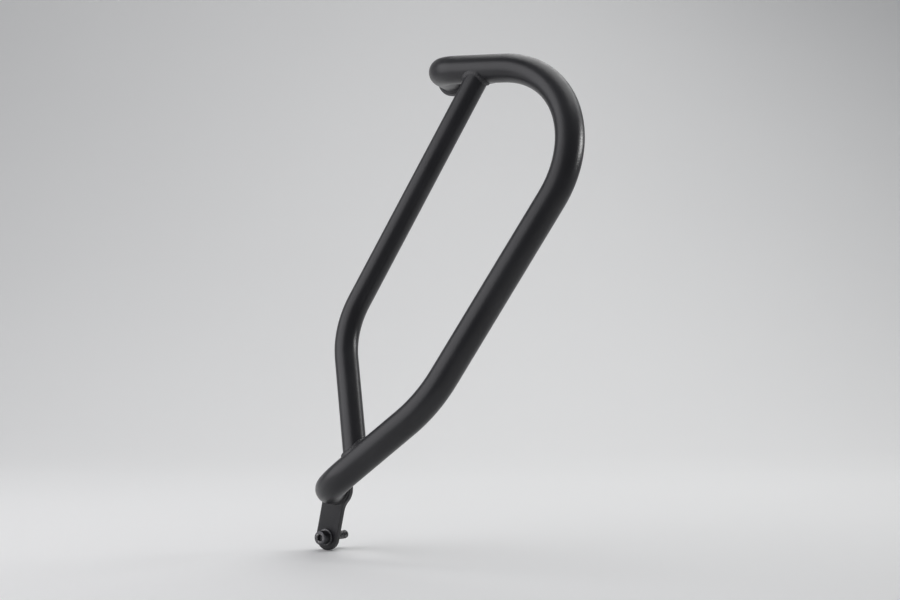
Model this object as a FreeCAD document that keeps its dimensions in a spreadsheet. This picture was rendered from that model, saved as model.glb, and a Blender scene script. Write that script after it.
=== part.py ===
# Motorcycle crash bar: a bent main tube, a coped brace tube, two mounting plates, welds and bolts.
# Millimetres. +X forward, +Y inboard, +Z up, origin at the lower bolt hole on the plate's inboard face.
import FreeCAD, Part
import math
import os
import Sketcher
from FreeCAD import Placement, Rotation, Vector

doc = FreeCAD.newDocument("crash_bar")

# Driving dimensions, in millimetres and degrees
SIZES = {
    "main_diameter": 27,
    "main_wall": 2,
    "brace_diameter": 22,
    "brace_wall": 2,
    "loop_lean_deg": 20,
    "top_run": 220,
    "top_rise_deg": 2.5,
    "front_run": 355,
    "front_rake_deg": 24.4,
    "lower_run": 131,
    "lower_rise_deg": 42,
    "end_bend_radius": 36,
    "front_bend_radius": 96,
    "lower_bend_radius": 130,
    "stub_sweep_deg": 25,
    "upper_stub": 40,
    "lower_stub": 12,
    "brace_top_setback": 168,
    "brace_bottom_setback": 42.6,
    "brace_bend_drop": 262,
    "brace_bend_offset": 95,
    "brace_bend_radius": 80,
    "weld_leg": 3,
    "plate_weld_leg": 2.5,
    "plate_lip": 0.5,
    "plate_thickness": 5,
    "plate_reach": 48,
    "plate_end_radius": 12.3,
    "plate_neck_radius": 20,
    "upper_plate_turn_deg": -95,
    "lower_plate_turn_deg": 13,
    "bolt_hole": 9,
    "bolt_diameter": 8,
    "bolt_shank_diameter": 7.2,
    "bolt_length": 30,
    "bolt_head_diameter": 13,
    "bolt_head_height": 8,
    "bolt_socket": 6,
    "bolt_socket_depth": 4,
    "washer_diameter": 16,
    "washer_thickness": 1.6,
    "washer_bore": 8.4,
}

sheet = doc.addObject("Spreadsheet::Sheet", "sizes")
for row, (alias, value) in enumerate(SIZES.items(), start=1):
    sheet.set(f"A{row}", alias)
    sheet.set(f"B{row}", str(value))
    sheet.setAlias(f"B{row}", alias)
doc.recompute()


def size(alias):
    """Read one driving dimension from the sheet."""
    return float(sheet.get(alias))


def angle(alias):
    """Read one driving angle from the sheet, in radians."""
    return math.radians(size(alias))


def bind(target, **expressions):
    """Bind an object's sizes to the sheet."""
    for name, expression in expressions.items():
        target.setExpression(name, expression)
    return target


INBOARD = Vector(0, 1, 0)
FORWARD = Vector(1, 0, 0)
UP = Vector(0, 0, 1)
TOOL_SPAN = 4
ON_SURFACE = 1e-4
VOLUME_MATCH = 1e-3
HEX_SIDES = 6


# Corners of the bent tubes: the loop lies in a plane that leans inboard at its top
def corner_setback(arriving, leaving, radius):
    """Length of run that a bend of this radius uses up on each side of its corner."""
    return radius * math.tan(arriving.getAngle(leaving) / 2)


def plate_arm(turn):
    """Way from a plate's bolt hole to the tube end that it carries."""
    return Vector(math.sin(turn), 0, math.cos(turn)) * size("plate_reach")


loop_up = Vector(0, math.sin(angle("loop_lean_deg")), math.cos(angle("loop_lean_deg")))
top_way = FORWARD * math.cos(angle("top_rise_deg")) - loop_up * math.sin(angle("top_rise_deg"))
lower_way = FORWARD * math.cos(angle("lower_rise_deg")) + loop_up * math.sin(angle("lower_rise_deg"))
front_way = FORWARD * math.sin(angle("front_rake_deg")) + loop_up * math.cos(angle("front_rake_deg"))
stub_way = INBOARD * math.cos(angle("stub_sweep_deg")) - FORWARD * math.sin(angle("stub_sweep_deg"))

end_radius = size("end_bend_radius")
lower_inset = size("lower_stub") + corner_setback(-lower_way, stub_way, end_radius)
upper_inset = size("upper_stub") + corner_setback(-top_way, stub_way, end_radius)

lower_hole = Vector(0, 0, 0)
lower_end = lower_hole + plate_arm(angle("lower_plate_turn_deg")) - INBOARD * size("plate_thickness")
lower_corner = lower_end - stub_way * lower_inset
knee_corner = lower_corner + lower_way * size("lower_run")
front_corner = knee_corner + front_way * size("front_run")
upper_corner = front_corner - top_way * size("top_run")
upper_end = upper_corner + stub_way * upper_inset
upper_hole = upper_end + INBOARD * size("plate_thickness") - plate_arm(angle("upper_plate_turn_deg"))

brace_top = front_corner - top_way * size("brace_top_setback")
brace_bend = brace_top - loop_up * size("brace_bend_drop") - FORWARD * size("brace_bend_offset")
brace_bottom = lower_corner + lower_way * size("brace_bottom_setback")


# Bent tubes: straight runs joined by tangent arcs, swept by a circle
def bent_wire(corners, radii):
    """Wire through the corners, with each inner corner rounded by its bend radius."""
    edges = []
    start = corners[0]
    for before, corner, after, radius in zip(corners, corners[1:], corners[2:], radii):
        back = (before - corner).normalize()
        ahead = (after - corner).normalize()
        setback = corner_setback(-back, ahead, radius)
        centre = corner + (back + ahead).normalize() * math.hypot(radius, setback)
        middle = centre + (corner - centre).normalize() * radius
        bend_start = corner + back * setback
        bend_end = corner + ahead * setback
        edges.append(Part.LineSegment(start, bend_start).toShape())
        edges.append(Part.Arc(bend_start, middle, bend_end).toShape())
        start = bend_end
    edges.append(Part.LineSegment(start, corners[-1]).toShape())
    return Part.Wire(edges)


def path(name, corners, radii):
    """Document object that holds a tube's centre line."""
    line = doc.addObject("Part::Feature", name)
    line.Shape = bent_wire(corners, radii)
    return line


def swept_rod(name, line, radius):
    """Solid rod of the given radius along a centre line."""
    edges = [f"Edge{number}" for number in range(1, len(line.Shape.Edges) + 1)]
    first = line.Shape.OrderedEdges[0]
    circle = bind(doc.addObject("Part::Circle", name + "_circle"), Radius=radius)
    way = first.tangentAt(first.FirstParameter)
    circle.Placement = Placement(first.Vertexes[0].Point, Rotation(UP, way))
    rod = doc.addObject("Part::Sweep", name)
    rod.Sections = [circle]
    rod.Spine = (line, edges)
    rod.Solid = True
    return rod


def cut(name, base, tool):
    """Base with the tool taken out of it."""
    result = doc.addObject("Part::Cut", name)
    result.Base = base
    result.Tool = tool
    return result


def slab(name, tube_end):
    """Block inboard of the plate plane at a tube end."""
    side = f"{TOOL_SPAN} * sizes.main_diameter"
    block = bind(doc.addObject("Part::Box", name), Length=side, Width=side, Height=side)
    half_side = TOOL_SPAN * size("main_diameter") / 2
    block.Placement = Placement(tube_end - (FORWARD + UP) * half_side, Rotation())
    return block


# The main tube is swept past both plates, then trimmed flush with them
overrun = stub_way * size("main_diameter")
main_line = path(
    "main_line",
    [upper_end + overrun, upper_corner, front_corner, knee_corner, lower_corner, lower_end + overrun],
    [end_radius, size("front_bend_radius"), size("lower_bend_radius"), end_radius],
)
main_outside = swept_rod("main_outside", main_line, "sizes.main_diameter / 2")
main_inside = swept_rod("main_inside", main_line, "sizes.main_diameter / 2 - sizes.main_wall")
upper_slab = slab("upper_slab", upper_end)
lower_slab = slab("lower_slab", lower_end)
main_untrimmed = cut("main_untrimmed", main_outside, main_inside)
main_tube = cut("main_tube", cut("main_trimmed_above", main_untrimmed, upper_slab), lower_slab)

# The brace runs to the main tube's centre line, and is coped by the main tube's outside
brace_line = path("brace_line", [brace_top, brace_bend, brace_bottom], [size("brace_bend_radius")])
brace_outside = swept_rod("brace_outside", brace_line, "sizes.brace_diameter / 2")
brace_inside = swept_rod("brace_inside", brace_line, "sizes.brace_diameter / 2 - sizes.brace_wall")
brace_tube = cut("brace_tube", cut("brace_uncoped", brace_outside, brace_inside), main_outside)


# Welds: the corner round where two pieces meet, filled to a slope
def group(name, pieces):
    """Pieces of one kind kept as separate solids under one name."""
    compound = doc.addObject("Part::Compound", name)
    compound.Links = pieces
    return compound


def rod(name, start, way, radius, height):
    """Straight rod from a point along a way."""
    solid = bind(doc.addObject("Part::Cylinder", name), Radius=radius, Height=height)
    solid.Placement = Placement(start, Rotation(UP, way))
    return solid


def on_rod(point, foot, way, radius):
    """Whether a point lies on the surface of a straight rod."""
    return math.isclose((point - foot).cross(way).Length, radius, rel_tol=ON_SURFACE)


def weld(name, carrier, tube, is_seam_point, leg):
    """Fillet weld round a tube that stands on a carrier."""
    joint = doc.addObject("Part::Fuse", name + "_joint")
    joint.Base = carrier
    joint.Tool = tube
    doc.recompute()
    filled = doc.addObject("Part::Chamfer", name + "_filled")
    filled.Base = joint
    filled.Edges = [
        (number, leg, leg)
        for number, edge in enumerate(joint.Shape.Edges, start=1)
        if all(is_seam_point(vertex.Point) for vertex in edge.Vertexes)
    ]
    return cut(name, cut(name + "_off_carrier", filled, carrier), tube)


def saddle_weld(name, foot, run_way, brace_way):
    """Weld round a brace end that stands on the main tube at foot."""
    span = f"{TOOL_SPAN} * sizes.brace_diameter"
    run_start = foot - run_way * (TOOL_SPAN * size("brace_diameter") / 2)
    run = rod(name + "_run", run_start, run_way, "sizes.main_diameter / 2", span)
    branch = rod(name + "_branch", foot, brace_way, "sizes.brace_diameter / 2", span)

    def is_seam_point(point):
        on_run = on_rod(point, foot, run_way, size("main_diameter") / 2)
        return on_run and on_rod(point, foot, brace_way, size("brace_diameter") / 2)

    return weld(name, run, branch, is_seam_point, size("weld_leg"))


def plate_weld(name, block, tube_end):
    """Weld round a tube end that meets its plate at a slant."""
    span = f"{TOOL_SPAN} * sizes.main_diameter"
    stub = rod(name + "_stub", tube_end + overrun, -stub_way, "sizes.main_diameter / 2", span)

    def is_seam_point(point):
        on_plate = math.isclose(point.y, tube_end.y, abs_tol=ON_SURFACE)
        return on_plate and on_rod(point, tube_end, stub_way, size("main_diameter") / 2)

    return weld(name, block, stub, is_seam_point, size("plate_weld_leg"))


brace_down = (brace_bend - brace_top).normalize()
brace_up = (brace_bend - brace_bottom).normalize()
brace_welds = group("brace_welds", [
    saddle_weld("top_weld", brace_top, top_way, brace_down),
    saddle_weld("bottom_weld", brace_bottom, lower_way, brace_up),
])
plate_welds = group("plate_welds", [
    plate_weld("upper_weld", upper_slab, upper_end),
    plate_weld("lower_weld", lower_slab, lower_end),
])


# Mounting plates: a disc behind the tube end that necks down to a tab with a bolt hole
def mount_plate(name, hole, turn):
    """Plate with its bolt hole at hole, turned about the bolt from upright."""
    body = doc.addObject("PartDesign::Body", name)
    body.Placement = Placement(hole, Rotation(INBOARD, math.degrees(turn)))
    plane = next(item for item in body.Origin.OriginFeatures if item.Role == "XZ_Plane")
    outline = body.newObject("Sketcher::SketchObject", name + "_outline")
    outline.AttachmentSupport = (plane, [""])
    outline.MapMode = "FlatFace"

    reach = size("plate_reach")
    half_tab = size("plate_end_radius")
    neck = size("plate_neck_radius")
    slanted_tube = size("main_diameter") / 2 / math.cos(angle("stub_sweep_deg"))
    disc = slanted_tube + size("plate_weld_leg") + size("plate_lip")
    tube_centre = Vector(0, reach, 0)
    neck_out = half_tab + neck
    neck_foot = reach - math.sqrt((disc + neck) ** 2 - neck_out ** 2)

    def neck_points(side):
        """Start, middle and end of one neck arc, from the tab up to the disc."""
        centre = Vector(side * neck_out, neck_foot, 0)
        low = Vector(side * half_tab, neck_foot, 0)
        high = centre + (tube_centre - centre).normalize() * neck
        middle = centre + (low + high - centre * 2).normalize() * neck
        return low, middle, high

    right_low, right_middle, right_high = neck_points(1)
    left_low, left_middle, left_high = neck_points(-1)
    right_foot = Vector(half_tab, 0, 0)
    left_foot = Vector(-half_tab, 0, 0)
    disc_arc = outline.addGeometry(Part.Arc(right_high, tube_centre + Vector(0, disc, 0), left_high))
    left_neck = outline.addGeometry(Part.Arc(left_high, left_middle, left_low))
    left_side = outline.addGeometry(Part.LineSegment(left_low, left_foot))
    end_arc = outline.addGeometry(Part.Arc(left_foot, Vector(0, -half_tab, 0), right_foot))
    right_side = outline.addGeometry(Part.LineSegment(right_foot, right_low))
    right_neck = outline.addGeometry(Part.Arc(right_low, right_middle, right_high))
    bore = outline.addGeometry(Part.Circle(Vector(0, 0, 0), UP, size("bolt_hole") / 2))

    start, end, centre = 1, 2, 3
    origin, upright_axis = -1, -2
    tie = Sketcher.Constraint
    outline.addConstraint([
        tie("Tangent", disc_arc, end, left_neck, end),
        tie("Tangent", left_neck, start, left_side, start),
        tie("Tangent", left_side, end, end_arc, start),
        tie("Tangent", end_arc, end, right_side, start),
        tie("Tangent", right_side, end, right_neck, end),
        tie("Tangent", right_neck, start, disc_arc, start),
        tie("Vertical", left_side),
        tie("Coincident", end_arc, centre, origin, start),
        tie("Coincident", bore, centre, origin, start),
        tie("PointOnObject", disc_arc, centre, upright_axis),
        tie("Equal", left_neck, right_neck),
    ])
    slanted = "sizes.main_diameter / 2 / cos(sizes.stub_sweep_deg * 1 deg)"
    driven = [
        (tie("DistanceY", origin, start, disc_arc, centre, reach), "reach", "sizes.plate_reach"),
        (tie("Radius", end_arc, half_tab), "end_radius", "sizes.plate_end_radius"),
        (tie("Radius", left_neck, neck), "neck_radius", "sizes.plate_neck_radius"),
        (tie("Radius", disc_arc, disc), "disc_radius", slanted + " + sizes.plate_weld_leg + sizes.plate_lip"),
        (tie("Diameter", bore, size("bolt_hole")), "bore", "sizes.bolt_hole"),
    ]
    for constraint, title, expression in driven:
        outline.renameConstraint(outline.addConstraint(constraint), title)
        outline.setExpression("Constraints." + title, expression)

    pad = body.newObject("PartDesign::Pad", name + "_pad")
    pad.Profile = outline
    bind(pad, Length="sizes.plate_thickness")
    return body


upper_mount_plate = mount_plate("upper_mount_plate", upper_hole, angle("upper_plate_turn_deg"))
lower_mount_plate = mount_plate("lower_mount_plate", lower_hole, angle("lower_plate_turn_deg"))


# Mounting hardware: a washer on each plate's outboard face, and a socket-head bolt through it
def bolt(name, hole):
    """Socket-head bolt seated on its washer, with its threaded end inboard of the plate."""
    grip = "sizes.plate_thickness + sizes.washer_thickness"
    free = f"sizes.bolt_length - ({grip})"
    seat = hole - INBOARD * (size("plate_thickness") + size("washer_thickness"))
    blank = doc.addObject("Part::MultiFuse", name + "_blank")
    blank.Shapes = [
        rod(name + "_head", seat, -INBOARD, "sizes.bolt_head_diameter / 2", "sizes.bolt_head_height"),
        rod(name + "_shank", seat, INBOARD, "sizes.bolt_shank_diameter / 2", grip),
        rod(name + "_thread", hole, INBOARD, "sizes.bolt_diameter / 2", free),
    ]
    key = bind(doc.addObject("Part::Prism", name + "_key"), Circumradius="sizes.bolt_socket / sqrt(3)",
               Height="sizes.bolt_socket_depth")
    key.Polygon = HEX_SIDES
    key.Placement = Placement(seat - INBOARD * size("bolt_head_height"), Rotation(UP, INBOARD))
    return cut(name, blank, key)


def washer(name, hole):
    """Plain washer on the outboard face of a plate."""
    seat = hole - INBOARD * size("plate_thickness")
    disc = rod(name + "_disc", seat, -INBOARD, "sizes.washer_diameter / 2", "sizes.washer_thickness")
    bore = rod(name + "_bore", seat, -INBOARD, "sizes.washer_bore / 2", "sizes.washer_thickness")
    return cut(name, disc, bore)


mounting_bolts = group("mounting_bolts", [
    bolt("upper_bolt", upper_hole),
    bolt("lower_bolt", lower_hole),
])
mounting_washers = group("mounting_washers", [
    washer("upper_washer", upper_hole),
    washer("lower_washer", lower_hole),
])

# Check every object and every finished piece before anything is written
NODES = [
    main_tube,
    brace_tube,
    upper_mount_plate,
    lower_mount_plate,
    brace_welds,
    plate_welds,
    mounting_bolts,
    mounting_washers,
]
doc.recompute()
for item in doc.Objects:
    if "Invalid" in item.State or "Error" in item.State:
        raise RuntimeError(f"{item.Label} failed: {item.State}")


def ring_area(outside, wall):
    """Cross-section of a round tube."""
    return math.pi * wall * (outside - wall)


main_length = main_line.Shape.Length - 2 * overrun.Length
main_expected = ring_area(size("main_diameter"), size("main_wall")) * main_length
if not math.isclose(main_tube.Shape.Volume, main_expected, rel_tol=VOLUME_MATCH):
    raise RuntimeError("main_tube does not fill its centre line")

os.makedirs("parts", exist_ok=True)
for node in NODES:
    if node.Shape.isNull() or not node.Shape.isValid():
        raise RuntimeError(f"{node.Label} has no valid shape")
for node in NODES:
    node.Shape.exportStep(f"parts/{node.Label}.step")
    print(f"{node.Label}: {len(node.Shape.Solids)} solids, {node.Shape.Volume:.0f} mm3")
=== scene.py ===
# %% [markdown]
# # A motorcycle crash bar, finished in Blender
# The bar is a loop of bent steel tube with a thinner brace tube welded across it and a bolting plate on
# each end. A satin black powder coat covers the whole weldment. The solids arrive from the CAD model,
# already in place and in metres. This lesson draws each of them again with what a CAD model leaves plain:
# smoother bends, rippled weld beads, rounded plate edges and real threads.

# %% Load the frame
import math
import random

import bmesh
import bpy
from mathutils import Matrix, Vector
from mathutils.geometry import tessellate_polygon


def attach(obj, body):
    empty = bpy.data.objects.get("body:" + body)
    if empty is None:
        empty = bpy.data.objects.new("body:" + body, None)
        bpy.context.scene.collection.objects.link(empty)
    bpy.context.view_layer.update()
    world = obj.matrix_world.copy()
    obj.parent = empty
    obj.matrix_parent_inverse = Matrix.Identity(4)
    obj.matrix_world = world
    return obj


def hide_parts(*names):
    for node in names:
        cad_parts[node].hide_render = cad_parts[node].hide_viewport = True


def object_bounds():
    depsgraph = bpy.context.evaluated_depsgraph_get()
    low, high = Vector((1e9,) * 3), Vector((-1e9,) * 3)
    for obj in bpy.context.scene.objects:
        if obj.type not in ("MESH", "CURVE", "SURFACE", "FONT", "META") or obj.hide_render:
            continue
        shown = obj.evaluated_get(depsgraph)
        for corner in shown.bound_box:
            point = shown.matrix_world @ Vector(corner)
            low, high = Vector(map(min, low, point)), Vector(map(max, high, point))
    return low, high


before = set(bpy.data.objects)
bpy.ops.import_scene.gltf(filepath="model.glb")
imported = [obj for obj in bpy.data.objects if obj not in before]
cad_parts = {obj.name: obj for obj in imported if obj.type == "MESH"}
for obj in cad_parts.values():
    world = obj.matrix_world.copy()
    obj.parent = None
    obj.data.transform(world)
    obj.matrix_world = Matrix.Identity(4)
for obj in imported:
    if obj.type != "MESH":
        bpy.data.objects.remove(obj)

MM = 0.001
cad_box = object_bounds()
print("nodes:", sorted(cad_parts))
print("CAD box in mm:", [[round(c / MM, 1) for c in corner] for corner in cad_box])

# %% [markdown]
# ## The camera
# The photograph was taken from ahead of the bar and outboard of it, level with its middle and almost two
# metres away. The camera stands in the same place, so every bend is seen from the same angle. The lens
# could be the photograph's own, but a longer one lets the bar fill the frame without changing its
# perspective.

# %% Put the camera where the photograph was taken
CAMERA_SPOT = Vector((1.1518, -1.3614, 0.2264))
LOOKING = Vector((-0.5969, 0.8035, -0.0027))
LENS = 76
SENSOR = 36

camera_data = bpy.data.cameras.new("photo_camera")
camera_data.sensor_width = SENSOR
camera_data.lens = LENS
camera = bpy.data.objects.new("photo_camera", camera_data)
camera.location = CAMERA_SPOT
camera.rotation_mode = "QUATERNION"
camera.rotation_quaternion = LOOKING.to_track_quat("-Z", "Y")
bpy.context.scene.collection.objects.link(camera)
bpy.context.scene.camera = camera
print("camera to lower bolt: %.2f m" % camera.location.length)

# %% [markdown]
# ## Writing shaders as arithmetic
# A finish could be wired up as a web of nodes, but it is easier to read as a formula. This small class
# wraps one socket. Adding or multiplying two of them adds a Math node, and `make` adds any other node,
# with its settings first and its inputs next.


# %% A socket that does arithmetic
class Flow:
    """One output socket of a material's nodes."""

    def __init__(self, tree, socket=None):
        self.tree = tree
        self.socket = socket

    def make(self, kind, settings=None, inputs=None, output=0):
        """Add a node: its settings, then values or links for its sockets."""
        node = self.tree.nodes.new(kind)
        for name, value in (settings or {}).items():
            setattr(node, name, value)
        for name, value in (inputs or {}).items():
            if isinstance(value, Flow):
                self.tree.links.new(value.socket, node.inputs[name])
            else:
                node.inputs[name].default_value = value
        return Flow(self.tree, node.outputs[output])

    def math(self, operation, first, second):
        return self.make("ShaderNodeMath", {"operation": operation}, {0: first, 1: second})

    def __add__(self, other):
        return self.math("ADD", self, other)

    def __sub__(self, other):
        return self.math("SUBTRACT", self, other)

    def __rsub__(self, other):
        return self.math("SUBTRACT", other, self)

    def __mul__(self, other):
        return self.math("MULTIPLY", self, other)

    __radd__ = __add__
    __rmul__ = __mul__

    def between(self, low, high):
        """0 below low, 1 above high, smooth in between."""
        limits = {"Value": self, "From Min": low, "From Max": high}
        return self.make("ShaderNodeMapRange", {"interpolation_type": "SMOOTHSTEP"}, limits)

    def mix(self, first, second):
        """Blend two colours, with this value as the share of the second."""
        shades = {"Factor": self, 6: first, 7: second}
        return self.make("ShaderNodeMix", {"data_type": "RGBA"}, shades, output=2)


print("sockets can be added, subtracted, multiplied and mixed")

# %% [markdown]
# Every finish here starts in the same way, and all its detail comes from noise at a size in metres. The
# noise is placed by the piece's own coordinates, so it needs no unwrapping and stays on the piece from
# every side.


# %% Helpers for a finish
def start_finish(name):
    """A new material: its shader node, and the coordinates of the piece that wears it."""
    material = bpy.data.materials.new(name)
    material.use_nodes = True
    place = Flow(material.node_tree).make("ShaderNodeTexCoord", output="Object")
    return material, material.node_tree.nodes["Principled BSDF"], place


def feed(shader, name, flow):
    """Join a flow to one input of the shader."""
    flow.tree.links.new(flow.socket, shader.inputs[name])


def noise(place, grain, detail=2.0):
    """Noise whose lumps are about `grain` metres across."""
    return place.make("ShaderNodeTexNoise", None, {"Vector": place, "Scale": 1 / grain, "Detail": detail})


def bump(height, strength, depth):
    """Tilt the surface as if it rose by up to `depth` metres."""
    relief = {"Strength": strength, "Distance": depth, "Height": height}
    return height.make("ShaderNodeBump", None, relief)


print("finish helpers ready")

# %% [markdown]
# ## Satin black powder coat
# Powder coat is plastic powder melted onto the steel. Up close it has the soft ripple of an orange's
# skin, about a millimetre and a half across, and a much finer grain. From further away, slow changes in
# gloss keep a long tube from looking like plastic pipe, and a little dust dulls what faces up. One flat
# grey would be quicker and would lose all of that.

# %% The coat
COAT_DEEP = (0.0105, 0.0103, 0.0125, 1)
COAT_PALE = (0.018, 0.0178, 0.0205, 1)
DUST = (0.20, 0.19, 0.18, 1)
COAT_ROUGHNESS = 0.27
COAT_SPECULAR = 0.45

powder_coat, coat_shader, place = start_finish("satin_black_powder_coat")
ripple = noise(place, 1.5 * MM, 1.0)
grain = noise(place, 0.35 * MM)
slow = noise(place, 45 * MM, 3.0)
cloud = noise(place, 9 * MM)
normal = place.make("ShaderNodeNewGeometry", output="Normal")
facing_up = place.make("ShaderNodeSeparateXYZ", None, {"Vector": normal}, output="Z")
dust = facing_up.between(0.35, 1.0) * cloud.between(0.35, 0.75)

shade = (slow * 0.6 + grain * 0.4).between(0.3, 0.7).mix(COAT_DEEP, COAT_PALE)
feed(coat_shader, "Base Color", (dust * 0.06).mix(shade, DUST))
feed(coat_shader, "Roughness", COAT_ROUGHNESS + slow * 0.08 + cloud * 0.05 + dust * 0.10)
feed(coat_shader, "Normal", bump(ripple * 0.75 + grain * 0.25, 0.4, 0.25 * MM))
coat_shader.inputs["Specular IOR Level"].default_value = COAT_SPECULAR
print("powder coat:", len(powder_coat.node_tree.nodes), "nodes")

# %% [markdown]
# ## Blackened steel
# The bolts and washers are steel with a black oxide skin: still a metal, but a dark one, with brighter
# steel where something has rubbed it. The wear could be painted on by hand. Here it is worked out from
# the distance to the bolt's axis, which is Y in each piece's own coordinates, so it always falls where
# the rubbing happens.


# %% Black oxide with a rubbed ring
def blackened_steel(name, dark, bright, rubbed):
    """Black oxide on steel; rubbed(place) is the share of the skin that is worn away."""
    material, shader, place = start_finish(name)
    mottle = noise(place, 1.8 * MM, 3.0)
    scratch = noise(place, 0.25 * MM)
    worn = rubbed(place) * (mottle * 0.6 + scratch * 0.4).between(0.42, 0.62)
    paler = [1.5 * c for c in dark[:3]] + [1]
    shade = mottle.between(0.3, 0.7).mix(dark, paler)
    feed(shader, "Base Color", worn.mix(shade, bright))
    feed(shader, "Roughness", 0.34 + scratch * 0.14 - worn * 0.08)
    feed(shader, "Normal", bump(scratch, 0.25, 0.03 * MM))
    shader.inputs["Metallic"].default_value = 0.9
    print(name, len(material.node_tree.nodes), "nodes")
    return material


def rubbed_ring(inner, outer, share):
    """A ring round the bolt's axis whose two edges each fade between two radii."""

    def rubbed(place):
        flat = place.make("ShaderNodeVectorMath", {"operation": "MULTIPLY"}, {0: place, 1: (1, 0, 1)})
        radius = flat.make("ShaderNodeVectorMath", {"operation": "LENGTH"}, {0: flat}, output="Value")
        return radius.between(*inner) * (1 - radius.between(*outer)) * share

    return rubbed


# %% [markdown]
# A key rubs the mouth of the bolt's socket, and the turning head rubs a ring on the washer under it.

# %% The bolts' and washers' finish
BOLT_OXIDE = (0.07, 0.07, 0.076, 1)
BOLT_BARE = (0.42, 0.41, 0.40, 1)
WASHER_OXIDE = (0.08, 0.08, 0.085, 1)
WASHER_BARE = (0.45, 0.44, 0.43, 1)

socket_mouth = rubbed_ring((2.6 * MM, 3.2 * MM), (4.2 * MM, 5.4 * MM), 0.6)
under_head = rubbed_ring((6.0 * MM, 6.6 * MM), (6.8 * MM, 7.4 * MM), 0.55)
bolt_black = blackened_steel("black_oxide_bolt", BOLT_OXIDE, BOLT_BARE, socket_mouth)
washer_black = blackened_steel("black_oxide_washer", WASHER_OXIDE, WASHER_BARE, under_head)

# %% [markdown]
# ## Making a mesh from rings
# Tubes, bolts, washers, plate edges and weld beads could each have their own modifier. All of them can
# also be drawn as a row of rings with a skin stretched between them, as a lathe or a potter's wheel would
# have it. One function then serves them all, and it keeps every face a clean quad.


# %% Rings to a skin
def skin(rings, closed=False, ends=True):
    """Points and quads between rings of equal length; closed joins the last ring to the first."""
    across = len(rings[0])
    points = [point for ring in rings for point in ring]
    faces = []
    for row in range(len(rings) if closed else len(rings) - 1):
        here = row * across
        there = (row + 1) % len(rings) * across
        for column in range(across):
            beside = (column + 1) % across
            faces.append((here + column, here + beside, there + beside, there + column))
    if ends and not closed:
        faces.append(tuple(range(across)))
        faces.append(tuple(range((len(rings) - 1) * across, len(rings) * across)))
    return points, faces


print("two squares make a box with", len(skin([[0] * 4] * 2)[1]), "faces")

# %% [markdown]
# A finished piece is such a skin with its faces turned outward, shaded smoothly up to a chosen angle, and
# given its finish. It rides on the bar's only body and hides the CAD node that it stands for.


# %% Skin to a finished piece
def finished_piece(name, points, faces, finish, slot, node, at=(0, 0, 0), sharp=35, flat=0):
    """A mesh object that stands for a CAD node and rides on the bar; its last faces may stay flat."""
    mesh = bpy.data.meshes.new(name)
    mesh.from_pydata(points, [], faces)
    shell = bmesh.new()
    shell.from_mesh(mesh)
    bmesh.ops.recalc_face_normals(shell, faces=shell.faces)
    shell.to_mesh(mesh)
    shell.free()
    mesh.polygons.foreach_set("use_smooth", [True] * (len(faces) - flat) + [False] * flat)
    mesh.set_sharp_from_angle(angle=math.radians(sharp))
    mesh.materials.append(finish)
    piece = bpy.data.objects.new(name, mesh)
    piece.location = at
    bpy.context.scene.collection.objects.link(piece)
    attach(piece, "root")
    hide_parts(node)
    print(name, len(mesh.polygons), "faces")


# %% [markdown]
# ## The line of each tube
# Each tube starts as one straight length and is pulled round a former, so its line is straights joined by
# round bends. The corners of that line could be typed in one by one. Here they follow from the sizes that
# a tube bender works with, the same as in the CAD model: how far each straight runs and which way it
# goes. The loop lies in a plane that leans inboard at its top, and +X is forward, +Y inboard and +Z up.

# %% Which way each straight goes
LOOP_LEAN = math.radians(20)
TOP_RISE = math.radians(2.5)
FRONT_RAKE = math.radians(24.4)
LOWER_RISE = math.radians(42)
STUB_SWEEP = math.radians(25)

forward = Vector((1, 0, 0))
inboard = Vector((0, 1, 0))
upward = Vector((0, 0, 1))
loop_up = inboard * math.sin(LOOP_LEAN) + upward * math.cos(LOOP_LEAN)
top_way = forward * math.cos(TOP_RISE) - loop_up * math.sin(TOP_RISE)
front_way = forward * math.sin(FRONT_RAKE) + loop_up * math.cos(FRONT_RAKE)
lower_way = forward * math.cos(LOWER_RISE) + loop_up * math.sin(LOWER_RISE)
stub_way = inboard * math.cos(STUB_SWEEP) - forward * math.sin(STUB_SWEEP)
print("front bend turns %.0f degrees" % math.degrees(top_way.angle(-front_way)))

# %% [markdown]
# The lower bolt hole is the origin, so the corners are worked out from the lower plate, up and round to the
# upper one. A bend takes up some of the straight on each side of its corner, which is why the two stubs,
# the short ends behind the loop, are given as the length that stays straight.

# %% The corners of the main tube
PLATE_THICKNESS = 5.0 * MM
PLATE_REACH = 48.0 * MM
UPPER_PLATE_TURN = math.radians(-95)
LOWER_PLATE_TURN = math.radians(13)
TOP_RUN = 220 * MM
FRONT_RUN = 355 * MM
LOWER_RUN = 131 * MM
UPPER_STUB = 40 * MM
LOWER_STUB = 12 * MM
END_BEND = 36 * MM
FRONT_BEND = 96 * MM
LOWER_BEND = 130 * MM


def plate_arm(turn):
    """From a plate's bolt hole to the middle of its disc, for a plate turned from upright."""
    return (forward * math.sin(turn) + upward * math.cos(turn)) * PLATE_REACH


def setback(arriving, leaving, radius):
    """The length of straight that a bend takes up on each side of its corner."""
    return radius * math.tan(arriving.angle(leaving) / 2)


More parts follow.
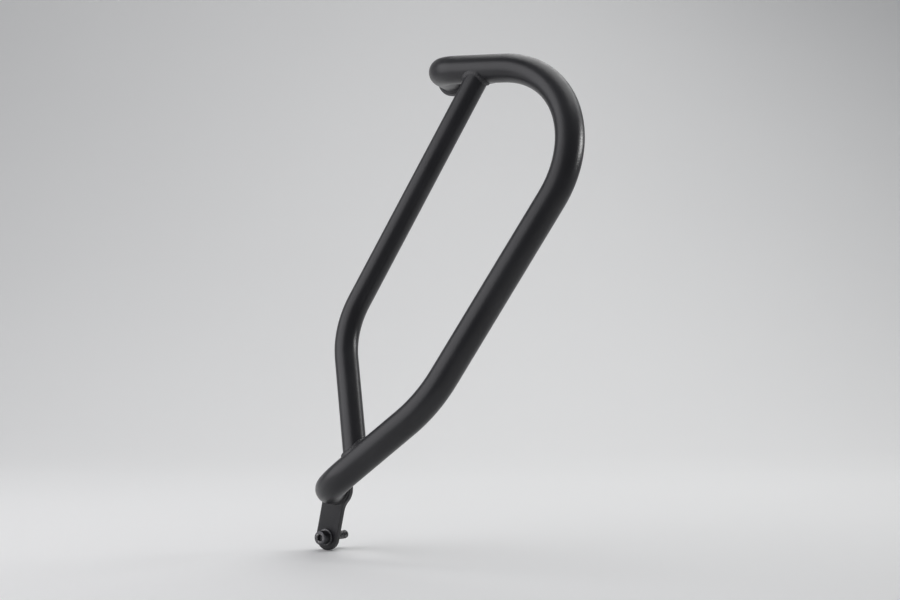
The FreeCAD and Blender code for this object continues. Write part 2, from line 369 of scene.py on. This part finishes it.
lower_hole = Vector((0, 0, 0))
lower_end = lower_hole + plate_arm(LOWER_PLATE_TURN) - inboard * PLATE_THICKNESS
lower_corner = lower_end - stub_way * (LOWER_STUB + setback(-lower_way, stub_way, END_BEND))
knee_corner = lower_corner + lower_way * LOWER_RUN
front_corner = knee_corner + front_way * FRONT_RUN
upper_corner = front_corner - top_way * TOP_RUN
upper_end = upper_corner + stub_way * (UPPER_STUB + setback(-top_way, stub_way, END_BEND))
upper_hole = upper_end + inboard * PLATE_THICKNESS - plate_arm(UPPER_PLATE_TURN)
main_corners = [upper_end, upper_corner, front_corner, knee_corner, lower_corner, lower_end]
main_bends = [END_BEND, FRONT_BEND, LOWER_BEND, END_BEND]
print("upper bolt hole in mm:", [round(c / MM, 1) for c in upper_hole])

# %% [markdown]
# The brace hangs between the two runs of the loop. Its feet are measured along those runs, and its one
# bend from its upper foot, so it follows the loop when the loop changes.

# %% The corners of the brace
BRACE_TOP_SETBACK = 168 * MM
BRACE_BOTTOM_SETBACK = 42.6 * MM
BRACE_BEND_DROP = 262 * MM
BRACE_BEND_OFFSET = 95 * MM
BRACE_BEND = 80 * MM

brace_top = front_corner - top_way * BRACE_TOP_SETBACK
brace_bend = brace_top - loop_up * BRACE_BEND_DROP - forward * BRACE_BEND_OFFSET
brace_bottom = lower_corner + lower_way * BRACE_BOTTOM_SETBACK
print("brace bend in mm:", [round(c / MM, 1) for c in brace_bend])

# %% [markdown]
# The CAD tubes have the same bends, but from close by their facets show on the outside of a bend. A curve
# with a round bevel would be smooth too, but its ends can't be cut to fit. So each line gets a station
# every three degrees of a bend, and later a ring at each station.

# %% Stations along a bent line
BEND_STEP = math.radians(3)


def bent_line(corners, bends):
    """Points and directions along straights that are joined by round bends."""
    stations = [(corners[0], (corners[1] - corners[0]).normalized())]
    for before, corner, after, radius in zip(corners, corners[1:], corners[2:], bends):
        arriving = (corner - before).normalized()
        leaving = (after - corner).normalized()
        turn = arriving.angle(leaving)
        start = corner - arriving * setback(arriving, leaving, radius)
        inward = (leaving - arriving * arriving.dot(leaving)).normalized()
        count = math.ceil(turn / BEND_STEP)
        for t in (turn * step / count for step in range(count + 1)):
            point = start + (arriving * math.sin(t) + inward * (1 - math.cos(t))) * radius
            stations.append((point, arriving * math.cos(t) + inward * math.sin(t)))
    stations.append((corners[-1], (corners[-1] - corners[-2]).normalized()))
    return stations


main_line = bent_line(main_corners, main_bends)
brace_line = bent_line([brace_top, brace_bend, brace_bottom], [BRACE_BEND])
for name, line in (("main tube", main_line), ("brace", brace_line)):
    length = sum((b[0] - a[0]).length for a, b in zip(line, line[1:]))
    print(name, len(line), "stations, %.0f mm along its line" % (length / MM))

# %% [markdown]
# ## The tubes
# A ring is carried on from one station to the next without twisting, so the skin stays even. The ends are
# cut to fit. The main tube is sawn flat where it meets its plates. The brace is coped: each point of its
# end slides along the brace until it is one radius from the main tube's axis, which is how a notcher cuts
# it. A boolean could do the same, but it would leave slivers along the cut.

# %% Rings and their cut ends
MAIN_RADIUS = 13.5 * MM
BRACE_RADIUS = 11.0 * MM
WALL = 2.0 * MM
AROUND_TUBE = 72


def tube_rings(line, radius):
    """A ring round each station of a line."""
    way = line[0][1]
    out = way.orthogonal().normalized()
    turns = [2 * math.pi * n / AROUND_TUBE for n in range(AROUND_TUBE)]
    rings = []
    for point, direction in line:
        out.rotate(way.rotation_difference(direction))
        way = direction
        side = way.cross(out)
        rings.append([point + (out * math.cos(t) + side * math.sin(t)) * radius for t in turns])
    return rings


def sawn(ring, way, plane):
    """Slide a ring along the tube onto a plate's face, which is square to Y."""
    return [point + way * ((plane - point.y) / way.y) for point in ring]


def onto_main(point, way, foot, run):
    """Slide a point along the brace onto the main tube, whose axis passes foot along run."""
    start = point - foot
    across_run = start - run * start.dot(run)
    climb = way - run * way.dot(run)
    a = climb.length_squared
    b = across_run.dot(climb)
    c = across_run.length_squared - MAIN_RADIUS ** 2
    return point + way * ((math.sqrt(b * b - a * c) - b) / a)


print("a ring has", AROUND_TUBE, "points")

# %% [markdown]
# Both tubes are hollow, so the skin goes down the outside, over the cut end and back up the bore.


# %% Skin the tubes
def main_rings(radius):
    """Rings of the main tube's skin or bore, sawn at both plates."""
    rings = tube_rings(main_line, radius)
    rings[0] = sawn(rings[0], main_line[0][1], upper_end.y)
    rings[-1] = sawn(rings[-1], main_line[-1][1], lower_end.y)
    return rings


def brace_rings(radius):
    """Rings of the brace's skin or bore, coped at both ends."""
    rings = tube_rings(brace_line, radius)
    rings[0] = [onto_main(point, brace_line[0][1], brace_top, top_way) for point in rings[0]]
    rings[-1] = [onto_main(point, -brace_line[-1][1], brace_bottom, lower_way) for point in rings[-1]]
    return rings


for name, rings, radius, node in (
    ("bent_main_tube", main_rings, MAIN_RADIUS, "main_tube"),
    ("bent_brace_tube", brace_rings, BRACE_RADIUS, "brace_tube"),
):
    walls = rings(radius) + rings(radius - WALL)[::-1]
    finished_piece(name, *skin(walls, closed=True), powder_coat, "black_coat", node)

# %% [markdown]
# ## Weld beads
# A hand-made bead is a row of overlapping puddles, like coins pushed over. Each one is a shallow
# crescent, because the middle of the puddle freezes last. The CAD weld is a plain slope, and bump in the
# finish would leave its outline plain. So a cross-section is carried round the seam, and its height rises
# and falls with the puddles. Each puddle differs a little, from a seeded list of chances.

# %% A bead round a seam
PUDDLE_STEPS = 10
FACE_POINTS = 9
CRESCENT_LAG = 0.55
BEAD_BULGE = 0.35 * MM
PUDDLE_LIFT = 0.38 * MM
TOE_SINK = 0.12 * MM


def puddle_hump(phase):
    """Height of one puddle from its front, which is steep, to its tail."""
    return (1 - phase) ** 0.6 * min(1, phase * 8)


def bead(name, seam, puddles, node, seed):
    """Carry a bulging cross-section round a seam: seam(turn) gives the root and the two toes."""
    chance = random.Random(seed)
    swell = [chance.uniform(0.75, 1.2) for _ in range(puddles)]
    reach = [chance.uniform(-0.10, 0.14) for _ in range(puddles)]
    rings = []
    for station in range(puddles * PUDDLE_STEPS):
        turn = station / (puddles * PUDDLE_STEPS)
        root, toe, far_toe = seam(2 * math.pi * turn)
        outward = ((toe + far_toe) / 2 - root).normalized()
        ring = [root]
        for share in (number / (FACE_POINTS - 1) for number in range(FACE_POINTS)):
            to_toe = abs(2 * share - 1)
            puddle = turn * puddles - CRESCENT_LAG * to_toe ** 2
            index = math.floor(puddle) % puddles
            hump = puddle_hump(puddle - math.floor(puddle))
            crest = math.sin(math.pi * share)
            lift = (BEAD_BULGE + PUDDLE_LIFT * swell[index] * hump) * crest - TOE_SINK * (1 - crest)
            spread = 1 + reach[index] * hump * to_toe
            ring.append(root + (toe.lerp(far_toe, share) - root) * spread + outward * lift)
        rings.append(ring)
    finished_piece(name, *skin(rings, closed=True), powder_coat, "black_coat", node, sharp=60)


print("a bead's section has", FACE_POINTS + 1, "points")

# %% [markdown]
# The brace stands on the main tube, so its seam is a saddle: the line where two cylinders meet, which is
# the brace's coped end. One toe of the bead lies up the brace, and the other is dropped onto the nearest
# point of the main tube.

# %% The two saddle beads
SADDLE_LEG = 3.0 * MM
SADDLE_PUDDLES = 30


def saddle(foot, run, branch):
    """Seam of a brace that leaves the main tube at foot."""
    side = run.cross(branch).normalized()
    ahead = branch.cross(side).normalized()

    def seam(turn):
        out = ahead * math.cos(turn) + side * math.sin(turn)
        root = onto_main(foot + out * BRACE_RADIUS, branch, foot, run)
        beside = root + out * SADDLE_LEG
        centre = foot + run * (beside - foot).dot(run)
        return root, root + branch * SADDLE_LEG, centre + (beside - centre).normalized() * MAIN_RADIUS

    return seam


top_saddle = saddle(brace_top, top_way, brace_line[0][1])
bottom_saddle = saddle(brace_bottom, lower_way, -brace_line[-1][1])
bead("brace_top_bead", top_saddle, SADDLE_PUDDLES, "brace_welds", seed=3)
bead("brace_bottom_bead", bottom_saddle, SADDLE_PUDDLES, "brace_welds", seed=8)

# %% [markdown]
# Each tube end meets its plate at a slant, so that seam is an ellipse in the plate's face. One toe lies
# back along the tube, and the other out along the plate.

# %% The two plate beads
PLATE_LEG = 2.5 * MM
PLATE_PUDDLES = 40


def ellipse(end):
    """Seam of a tube end on the outboard face of its plate."""
    across_stub = forward * math.cos(STUB_SWEEP) + inboard * math.sin(STUB_SWEEP)

    def seam(turn):
        out = across_stub * math.cos(turn) + upward * math.sin(turn)
        root = end + (out - stub_way * (out.y / stub_way.y)) * MAIN_RADIUS
        along_plate = Vector((out.x, 0, out.z)).normalized()
        return root, root - stub_way * PLATE_LEG, root + along_plate * PLATE_LEG

    return seam


bead("upper_plate_bead", ellipse(upper_end), PLATE_PUDDLES, "plate_welds", seed=5)
bead("lower_plate_bead", ellipse(lower_end), PLATE_PUDDLES, "plate_welds", seed=11)

# %% [markdown]
# ## The bolting plates
# Each plate is cut from flat bar: a disc behind the tube end that necks down to a tab with a bolt hole.
# The coat runs thick over a cut edge and rounds it. A bevel modifier could round it too, but the outline
# is only arcs, so drawing it a little smaller on each face means no more than changing their radii.

# %% Plate outline
PLATE_LIP = 0.5 * MM
DISC_RADIUS = MAIN_RADIUS / math.cos(STUB_SWEEP) + PLATE_LEG + PLATE_LIP
TAB_RADIUS = 12.3 * MM
NECK_RADIUS = 20.0 * MM
DISC_POINTS = 64
TAB_POINTS = 36
NECK_POINTS = 12


def arc(centre, radius, first, last, count):
    """Points on an arc in the plate's plane, as (across, along)."""
    turns = [first + (last - first) * step / count for step in range(count)]
    return [(centre[0] + radius * math.cos(t), centre[1] + radius * math.sin(t)) for t in turns]


def plate_outline(inset):
    """The plate's outline, drawn in by inset all round."""
    neck_x = TAB_RADIUS + NECK_RADIUS
    neck_y = PLATE_REACH - math.sqrt((DISC_RADIUS + NECK_RADIUS) ** 2 - neck_x ** 2)
    lean = math.atan2(PLATE_REACH - neck_y, neck_x)
    points = arc((0, PLATE_REACH), DISC_RADIUS - inset, -lean, math.pi + lean, DISC_POINTS)
    points += arc((-neck_x, neck_y), NECK_RADIUS + inset, lean, 0, NECK_POINTS)
    points += arc((0, 0), TAB_RADIUS - inset, math.pi, 2 * math.pi, TAB_POINTS)
    points += arc((neck_x, neck_y), NECK_RADIUS + inset, math.pi, math.pi - lean, NECK_POINTS)
    return points


print("plate outline:", len(plate_outline(0)), "points")

# %% [markdown]
# The rounded rims are skins of rings. The flat faces between rim and hole are filled with triangles and
# kept flat, because quads stretched from a long outline to a small hole would cross each other and leave
# dark streaks.

# %% Skin the plates
HOLE_RADIUS = 4.5 * MM
EDGE = 0.55 * MM
ROUND_STEPS = 4
round_over = [math.pi / 2 * step / ROUND_STEPS for step in range(ROUND_STEPS + 1)]


def bolting_plate(name, hole, turn, node):
    """A plate with rounded edges, turned about its bolt from upright."""
    around = len(plate_outline(0))
    arm = plate_arm(turn).normalized()
    across_arm = inboard.cross(arm)

    def ring_at(outline, depth):
        return [hole + across_arm * across + arm * along - inboard * depth for across, along in outline]

    profile = [(EDGE * (1 - math.sin(t)), EDGE * (1 - math.cos(t))) for t in round_over]
    profile += [(inset, PLATE_THICKNESS - depth) for inset, depth in reversed(profile)]
    rim = [ring_at(plate_outline(inset), depth) for inset, depth in profile]
    bore = []
    for inset, depth in profile:
        bore.append(ring_at(arc((0, 0), HOLE_RADIUS + inset, 0, 2 * math.pi, around), depth))
    points, faces = skin(rim, ends=False)
    bore_points, bore_faces = skin(bore, ends=False)
    faces += [[len(points) + corner for corner in face] for face in bore_faces]
    fill = []
    for row in (0, len(profile) - 1):
        corners = [row * around + n for n in range(around)]
        corners += [len(points) + corner for corner in corners]
        fill += [[corners[c] for c in triangle] for triangle in tessellate_polygon([rim[row], bore[row]])]
    points += bore_points
    finished_piece(name, points, faces + fill, powder_coat, "black_coat", node, sharp=50, flat=len(fill))


bolting_plate("upper_bolting_plate", upper_hole, UPPER_PLATE_TURN, "upper_mount_plate")
bolting_plate("lower_bolting_plate", lower_hole, LOWER_PLATE_TURN, "lower_mount_plate")

# %% [markdown]
# ## The bolts
# Each is an 8 mm socket-head bolt. Its head is knurled for fingers and has a six-sided socket with a
# countersunk mouth, and its thread climbs 1.25 mm a turn. A screw modifier could wind the thread. Here
# its height depends on both the place along the bolt and the turn around it, so a row of rings whose
# radius follows that sum winds into a helix by itself, in one mesh with the head.

# %% Radius of the thread, the socket and the knurl
COLUMNS = 96
PITCH = 1.25 * MM
THREAD_TIP = 4.0 * MM
THREAD_ROOT = 3.35 * MM
SHARP_CREST = 1.45
FLANK_SLOPE = 3.4
SOCKET_FLAT = 3.0 * MM
HEAD = 6.5 * MM
KNURL_DEPTH = 0.16 * MM
turns = [2 * math.pi * column / COLUMNS for column in range(COLUMNS)]


def thread_radius(along, turn):
    """Radius of the thread's surface: flat crests, flat roots and straight flanks."""
    phase = (along / PITCH - turn / (2 * math.pi)) % 1
    height = min(1, max(0, SHARP_CREST - FLANK_SLOPE * abs(phase - 0.5)))
    return THREAD_ROOT + (THREAD_TIP - THREAD_ROOT) * height


def socket_radius(turn):
    """Radius of a six-sided hole."""
    return SOCKET_FLAT / math.cos((turn + math.pi / 6) % (math.pi / 3) - math.pi / 6)


def knurl_radius(turn):
    """Fine ridges along the head's side."""
    return HEAD - KNURL_DEPTH * (round(turn / (2 * math.pi) * COLUMNS) % 2)


print("socket across flats %.1f mm" % (2 * socket_radius(0) / MM))

# %% [markdown]
# The rings of a bolt run from the bottom of its socket, up and over the head, and down to the tip. Those
# of the head are listed as a turner would: the depth below the head's top, and the radius there.

# %% Rings of the head
WASHER_THICKNESS = 1.6 * MM
BOLT_LENGTH = 30 * MM
HEAD_HEIGHT = 8.0 * MM
SHANK = 3.6 * MM
GRIP = PLATE_THICKNESS + WASHER_THICKNESS
head_top = -GRIP - HEAD_HEIGHT
head_profile = [
    (4.9 * MM, 0.2 * MM),
    (4.0 * MM, 2.6 * MM),
    (4.0 * MM, socket_radius),
    (0.45 * MM, socket_radius),
    (0, 3.75 * MM),
    (0, 5.6 * MM),
    (0.10 * MM, 6.0 * MM),
    (0.35 * MM, 6.3 * MM),
    (0.75 * MM, 6.42 * MM),
    (1.0 * MM, knurl_radius),
    (7.3 * MM, knurl_radius),
    (7.6 * MM, 6.35 * MM),
    (HEAD_HEIGHT, 6.1 * MM),
    (HEAD_HEIGHT, 4.1 * MM),
    (HEAD_HEIGHT + 0.4 * MM, SHANK),
]


def turned_ring(along, radius):
    """One ring round the bolt's axis; radius is a number or a function of the turn."""
    sizes = [radius(turn) if callable(radius) else radius for turn in turns]
    return [Vector((size * math.cos(t), along, size * math.sin(t))) for size, t in zip(sizes, turns)]


bolt_rings = [turned_ring(head_top + depth, radius) for depth, radius in head_profile]
print("head:", len(bolt_rings), "rings")

# %% [markdown]
# The thread starts shallow where it runs out towards the shank, and its tip is chamfered, so each of its
# rings is also held under a limit.

# %% Rings of the thread, and the two bolts
PLAIN_SHANK_END = -1.0 * MM
RUN_OUT_SLOPE = 0.5
TIP_RADIUS = 3.1 * MM
RINGS_A_PITCH = 8
free_length = BOLT_LENGTH - GRIP

bolt_rings.append(turned_ring(PLAIN_SHANK_END, SHANK))
steps = round(free_length / PITCH * RINGS_A_PITCH)
for along in (free_length * step / steps for step in range(steps + 1)):
    limit = min(THREAD_TIP, SHANK + along * RUN_OUT_SLOPE, TIP_RADIUS + free_length - along)
    bolt_rings.append(turned_ring(along, lambda turn: min(limit, thread_radius(along, turn))))
bolt_skin = skin(bolt_rings)
for name, hole in (("upper_socket_bolt", upper_hole), ("lower_socket_bolt", lower_hole)):
    finished_piece(name, *bolt_skin, bolt_black, "bolt_steel", "mounting_bolts", at=hole, sharp=28)

# %% [markdown]
# ## The washers
# A stamped washer has one edge rounded by the die and one left almost square. The rounded edge faces the
# bolt head. A plain cylinder with a hole would show no such edge, so its section is drawn and turned like
# the bolt's.

# %% Rings of a washer
WASHER_OUT = 8.0 * MM
WASHER_IN = 4.2 * MM
SEAT_CHAMFER = 0.1 * MM
DIE_ROUND = 0.5 * MM
BORE_ROUND = 0.3 * MM
seat = -PLATE_THICKNESS
top = -GRIP

washer_rings = [
    turned_ring(seat, WASHER_IN),
    turned_ring(seat, WASHER_OUT - SEAT_CHAMFER),
    turned_ring(seat - SEAT_CHAMFER, WASHER_OUT),
]
for t in round_over:
    radius = WASHER_OUT - DIE_ROUND * (1 - math.cos(t))
    washer_rings.append(turned_ring(top + DIE_ROUND * (1 - math.sin(t)), radius))
for t in reversed(round_over):
    radius = WASHER_IN + BORE_ROUND * (1 - math.cos(t))
    washer_rings.append(turned_ring(top + BORE_ROUND * (1 - math.sin(t)), radius))
washer_skin = skin(washer_rings, closed=True)
for name, hole in (("upper_plain_washer", upper_hole), ("lower_plain_washer", lower_hole)):
    finished_piece(name, *washer_skin, washer_black, "washer_steel", "mounting_washers", at=hole)

# %% [markdown]
# ## Floor and backdrop
# The bar is shown on a pale sweep, as on a roll of studio paper: a floor that curves up into a wall far
# behind. A floor and a wall that met at a corner would leave a line across the back of the picture.

# %% The sweep
FLOOR_AHEAD = 9.0
FLOOR_BEHIND = 0.9
SWEEP_RADIUS = 1.0
SWEEP_STEPS = 12
WALL_HEIGHT = 4.0
HALF_WIDTH = 9.0
floor_height = cad_box[0].z
middle = (cad_box[0] + cad_box[1]) / 2
backward = Vector((LOOKING.x, LOOKING.y, 0)).normalized()
sideways = Vector((backward.y, -backward.x, 0))

sweep_profile = [(-FLOOR_AHEAD, 0)]
for t in (math.pi / 2 * step / SWEEP_STEPS for step in range(SWEEP_STEPS + 1)):
    sweep_profile.append((FLOOR_BEHIND + SWEEP_RADIUS * math.sin(t), SWEEP_RADIUS * (1 - math.cos(t))))
sweep_profile.append((FLOOR_BEHIND + SWEEP_RADIUS, WALL_HEIGHT))
sweep_points = []
for side in (-HALF_WIDTH, HALF_WIDTH):
    for back, up in sweep_profile:
        spot = middle + backward * back + sideways * side
        sweep_points.append((spot.x, spot.y, floor_height + up))
count = len(sweep_profile)
sweep_faces = [(i, i + 1, count + i + 1, count + i) for i in range(count - 1)]
print("floor at %.1f mm" % (floor_height / MM))

# %% [markdown]
# Even plain paper isn't one flat white, so its tone drifts a little over half a metre. It is pale by its
# colour and not by more light, which keeps it from burning out.

# %% Paper for the sweep
sweep_mesh = bpy.data.meshes.new("pale_sweep")
sweep_mesh.from_pydata(sweep_points, [], sweep_faces)
sweep_mesh.polygons.foreach_set("use_smooth", [True] * len(sweep_faces))
sweep = bpy.data.objects.new("pale_sweep", sweep_mesh)
bpy.context.scene.collection.objects.link(sweep)
paper, paper_shader, place = start_finish("pale_paper")
feed(paper_shader, "Base Color", noise(place, 0.5).mix((0.84, 0.84, 0.835, 1), (0.87, 0.87, 0.865, 1)))
paper_shader.inputs["Roughness"].default_value = 0.8
sweep_mesh.materials.append(paper)
print("paper:", len(paper.node_tree.nodes), "nodes")

# %% [markdown]
# ## Soft studio light
# A black satin tube shows its shape only by what it reflects, so even light from everywhere would leave
# it flat. A tall panel along the left makes the pale flank that runs down each tube, and a wide one
# overhead and a little behind lights the top of the bends. A small one on the right, with a grid over it
# that keeps its beam narrow, puts a glint on the outside of the front bend and leaves the brace alone.
# The front stays dark, and so does the middle of each tube.


# %% Lamps
def studio(back, side, up):
    """A spot measured from the bar: behind it, to its right and above it, as the camera sees it."""
    return middle + backward * back + sideways * side + upward * up


def panel(name, spot, aim, size, power, spread=180, tint=(1, 1, 1)):
    """A soft rectangular lamp that faces its aim; a small spread works like a grid over it."""
    light = bpy.data.lights.new(name, "AREA")
    light.shape = "RECTANGLE"
    light.size, light.size_y = size
    light.energy = power
    light.spread = math.radians(spread)
    light.color = tint
    lamp = bpy.data.objects.new(name, light)
    lamp.location = spot
    lamp.rotation_mode = "QUATERNION"
    lamp.rotation_quaternion = (aim - spot).to_track_quat("-Z", "Y")
    bpy.context.scene.collection.objects.link(lamp)
    print(name, "at", [round(c, 2) for c in spot], power, "W")


above_front_bend = studio(0.05, 0.15, 0.34)
panel("overhead_panel", studio(0.6, 0.4, 1.35), middle, (1.7, 1.7), 18)
panel("left_panel", studio(-0.4, -1.5, 0.56), middle, (2.6, 1.56), 14, spread=140, tint=(0.98, 0.97, 1))
panel("right_panel", studio(0.3, 1.3, 0.56), above_front_bend, (0.8, 0.46), 0.9, spread=34)

# %% [markdown]
# A faint, cool light from all round stands for the walls of the studio and keeps the shadows open. The
# Standard view shows a colour about as it is written.

# %% World and view
WORLD_STRENGTH = 0.2

world = bpy.data.worlds.new("studio_world")
world.use_nodes = True
background = world.node_tree.nodes["Background"]
background.inputs["Color"].default_value = (0.93, 0.96, 1, 1)
background.inputs["Strength"].default_value = WORLD_STRENGTH
bpy.context.scene.world = world
bpy.context.scene.view_settings.view_transform = "Standard"
print("world strength", WORLD_STRENGTH)
